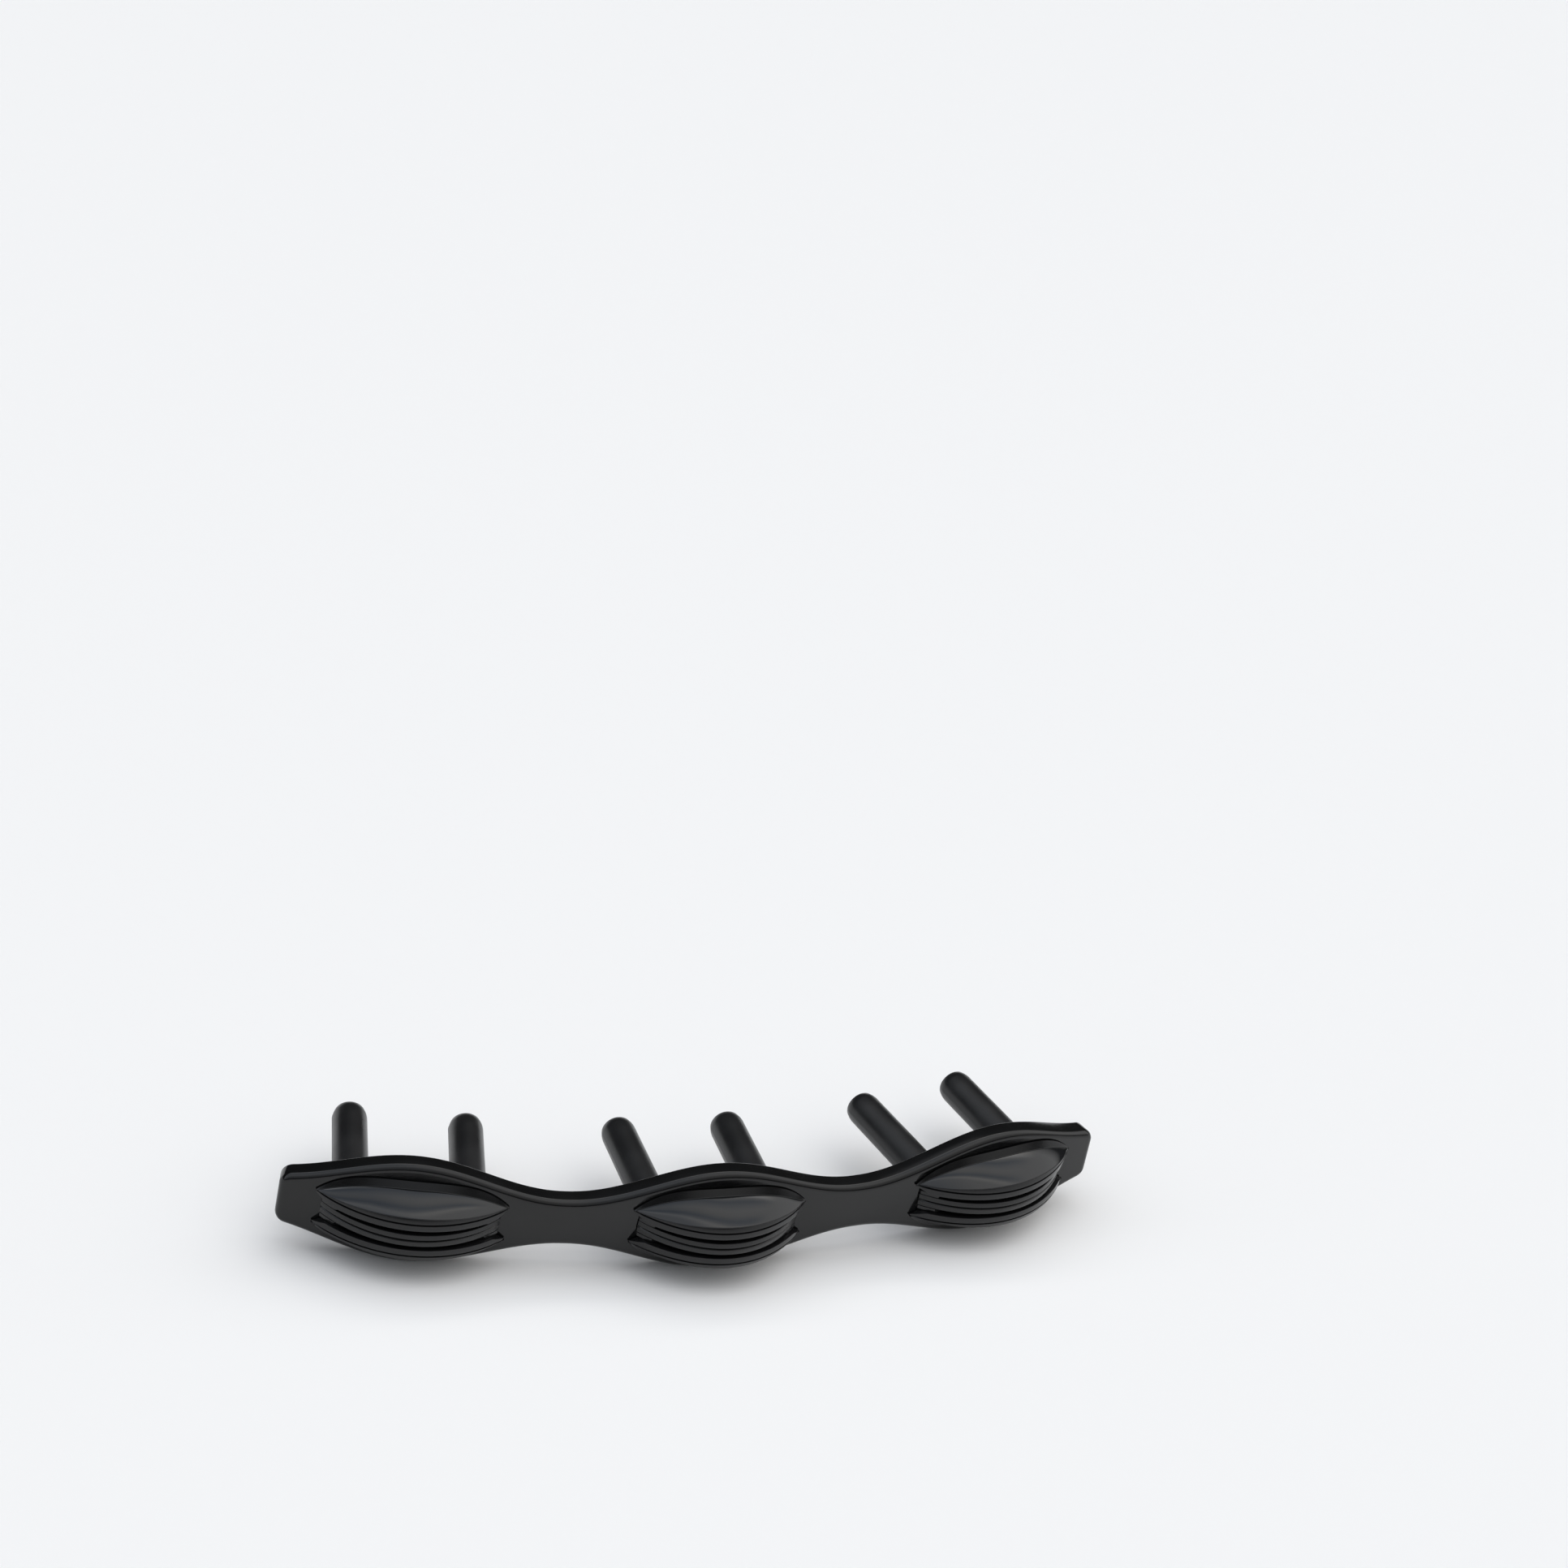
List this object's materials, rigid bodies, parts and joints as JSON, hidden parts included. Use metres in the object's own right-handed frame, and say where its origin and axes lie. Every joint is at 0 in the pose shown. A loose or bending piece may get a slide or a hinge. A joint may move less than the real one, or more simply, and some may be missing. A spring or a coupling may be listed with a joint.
{
  "type": "vibration dampener",
  "caption": "Curved black strip with lens-shaped slotted pods over the string loops and string barrels behind, damps string vibration at a racket's throat bridge.",
  "frame": {"origin": "middle of the strip's flat seat on its back face, on the string bed's plane", "axes": "+X along the strip, +Y into the bridge towards the racket head, +Z normal to the string bed"},
  "size_m": [0.0786, 0.0231, 0.0106],
  "materials": {
    "carrier_strip": "glossy black moulded nylon",
    "string_barrel_1": "semi-gloss black nylon",
    "string_barrel_2": "semi-gloss black nylon",
    "string_barrel_3": "semi-gloss black nylon",
    "string_barrel_4": "semi-gloss black nylon",
    "string_barrel_5": "semi-gloss black nylon",
    "string_barrel_6": "semi-gloss black nylon",
    "string_saddle_left": "semi-gloss black nylon",
    "string_saddle_centre": "semi-gloss black nylon",
    "string_saddle_right": "semi-gloss black nylon",
    "upper_cap_left": "smooth black elastomer",
    "lower_cap_left": "smooth black elastomer",
    "upper_lens_left": "polished black",
    "lower_lens_left": "polished black",
    "middle_lamella_left": "smooth black elastomer",
    "upper_cap_centre": "smooth black elastomer",
    "lower_cap_centre": "smooth black elastomer",
    "upper_lens_centre": "polished black",
    "lower_lens_centre": "polished black",
    "middle_lamella_centre": "smooth black elastomer",
    "upper_cap_right": "smooth black elastomer",
    "lower_cap_right": "smooth black elastomer",
    "upper_lens_right": "polished black",
    "lower_lens_right": "polished black",
    "middle_lamella_right": "smooth black elastomer"
  },
  "bodies": {
    "carrier": {"carrier_strip": "carrier_strip", "string_barrel_1": "string_barrel_1", "string_barrel_2": "string_barrel_2", "string_barrel_3": "string_barrel_3", "string_barrel_4": "string_barrel_4", "string_barrel_5": "string_barrel_5", "string_barrel_6": "string_barrel_6", "string_saddle_left": "string_saddle_left", "string_saddle_centre": "string_saddle_centre", "string_saddle_right": "string_saddle_right"},
    "upper_pod_plate_left": {"upper_cap_left": "upper_cap_left", "upper_lens_left": "upper_lens_left"},
    "lower_pod_plate_left": {"lower_cap_left": "lower_cap_left", "lower_lens_left": "lower_lens_left"},
    "lamella_left": {"middle_lamella_left": "middle_lamella_left"},
    "upper_pod_plate_centre": {"upper_cap_centre": "upper_cap_centre", "upper_lens_centre": "upper_lens_centre"},
    "lower_pod_plate_centre": {"lower_cap_centre": "lower_cap_centre", "lower_lens_centre": "lower_lens_centre"},
    "lamella_centre": {"middle_lamella_centre": "middle_lamella_centre"},
    "upper_pod_plate_right": {"upper_cap_right": "upper_cap_right", "upper_lens_right": "upper_lens_right"},
    "lower_pod_plate_right": {"lower_cap_right": "lower_cap_right", "lower_lens_right": "lower_lens_right"},
    "lamella_right": {"middle_lamella_right": "middle_lamella_right"}
  },
  "joints": [
    {"name": "upper_cap_left_flex", "type": "hinge", "parent": "carrier", "child": "upper_pod_plate_left", "pos_m": [-0.02794, 0.00138, 0.00235], "axis": [-0.9703, 0.2418, 0], "range_deg": [-3, 5], "stiffness_Nm_per_rad": 0.002},
    {"name": "lower_cap_left_flex", "type": "hinge", "parent": "carrier", "child": "lower_pod_plate_left", "pos_m": [-0.02794, 0.00138, -0.00235], "axis": [0.9703, -0.2418, 0], "range_deg": [-3, 5], "stiffness_Nm_per_rad": 0.002},
    {"name": "middle_lamella_left_flex", "type": "hinge", "parent": "carrier", "child": "lamella_left", "pos_m": [-0.02792, 0.00143, 0], "axis": [0.9703, -0.2418, 0], "range_deg": [-2.5, 2.5], "stiffness_Nm_per_rad": 0.002},
    {"name": "upper_cap_centre_flex", "type": "hinge", "parent": "carrier", "child": "upper_pod_plate_centre", "pos_m": [0, -0.00205, 0.00235], "axis": [-1, 0, 0], "range_deg": [-3, 5], "stiffness_Nm_per_rad": 0.002},
    {"name": "lower_cap_centre_flex", "type": "hinge", "parent": "carrier", "child": "lower_pod_plate_centre", "pos_m": [0, -0.00205, -0.00235], "axis": [1, 0, 0], "range_deg": [-3, 5], "stiffness_Nm_per_rad": 0.002},
    {"name": "middle_lamella_centre_flex", "type": "hinge", "parent": "carrier", "child": "lamella_centre", "pos_m": [0, -0.002, 0], "axis": [1, 0, 0], "range_deg": [-2.5, 2.5], "stiffness_Nm_per_rad": 0.002},
    {"name": "upper_cap_right_flex", "type": "hinge", "parent": "carrier", "child": "upper_pod_plate_right", "pos_m": [0.02794, 0.00138, 0.00235], "axis": [-0.9703, -0.2418, 0], "range_deg": [-3, 5], "stiffness_Nm_per_rad": 0.002},
    {"name": "lower_cap_right_flex", "type": "hinge", "parent": "carrier", "child": "lower_pod_plate_right", "pos_m": [0.02794, 0.00138, -0.00235], "axis": [0.9703, 0.2418, 0], "range_deg": [-3, 5], "stiffness_Nm_per_rad": 0.002},
    {"name": "middle_lamella_right_flex", "type": "hinge", "parent": "carrier", "child": "lamella_right", "pos_m": [0.02792, 0.00143, 0], "axis": [0.9703, 0.2418, 0], "range_deg": [-2.5, 2.5], "stiffness_Nm_per_rad": 0.002}
  ]
}
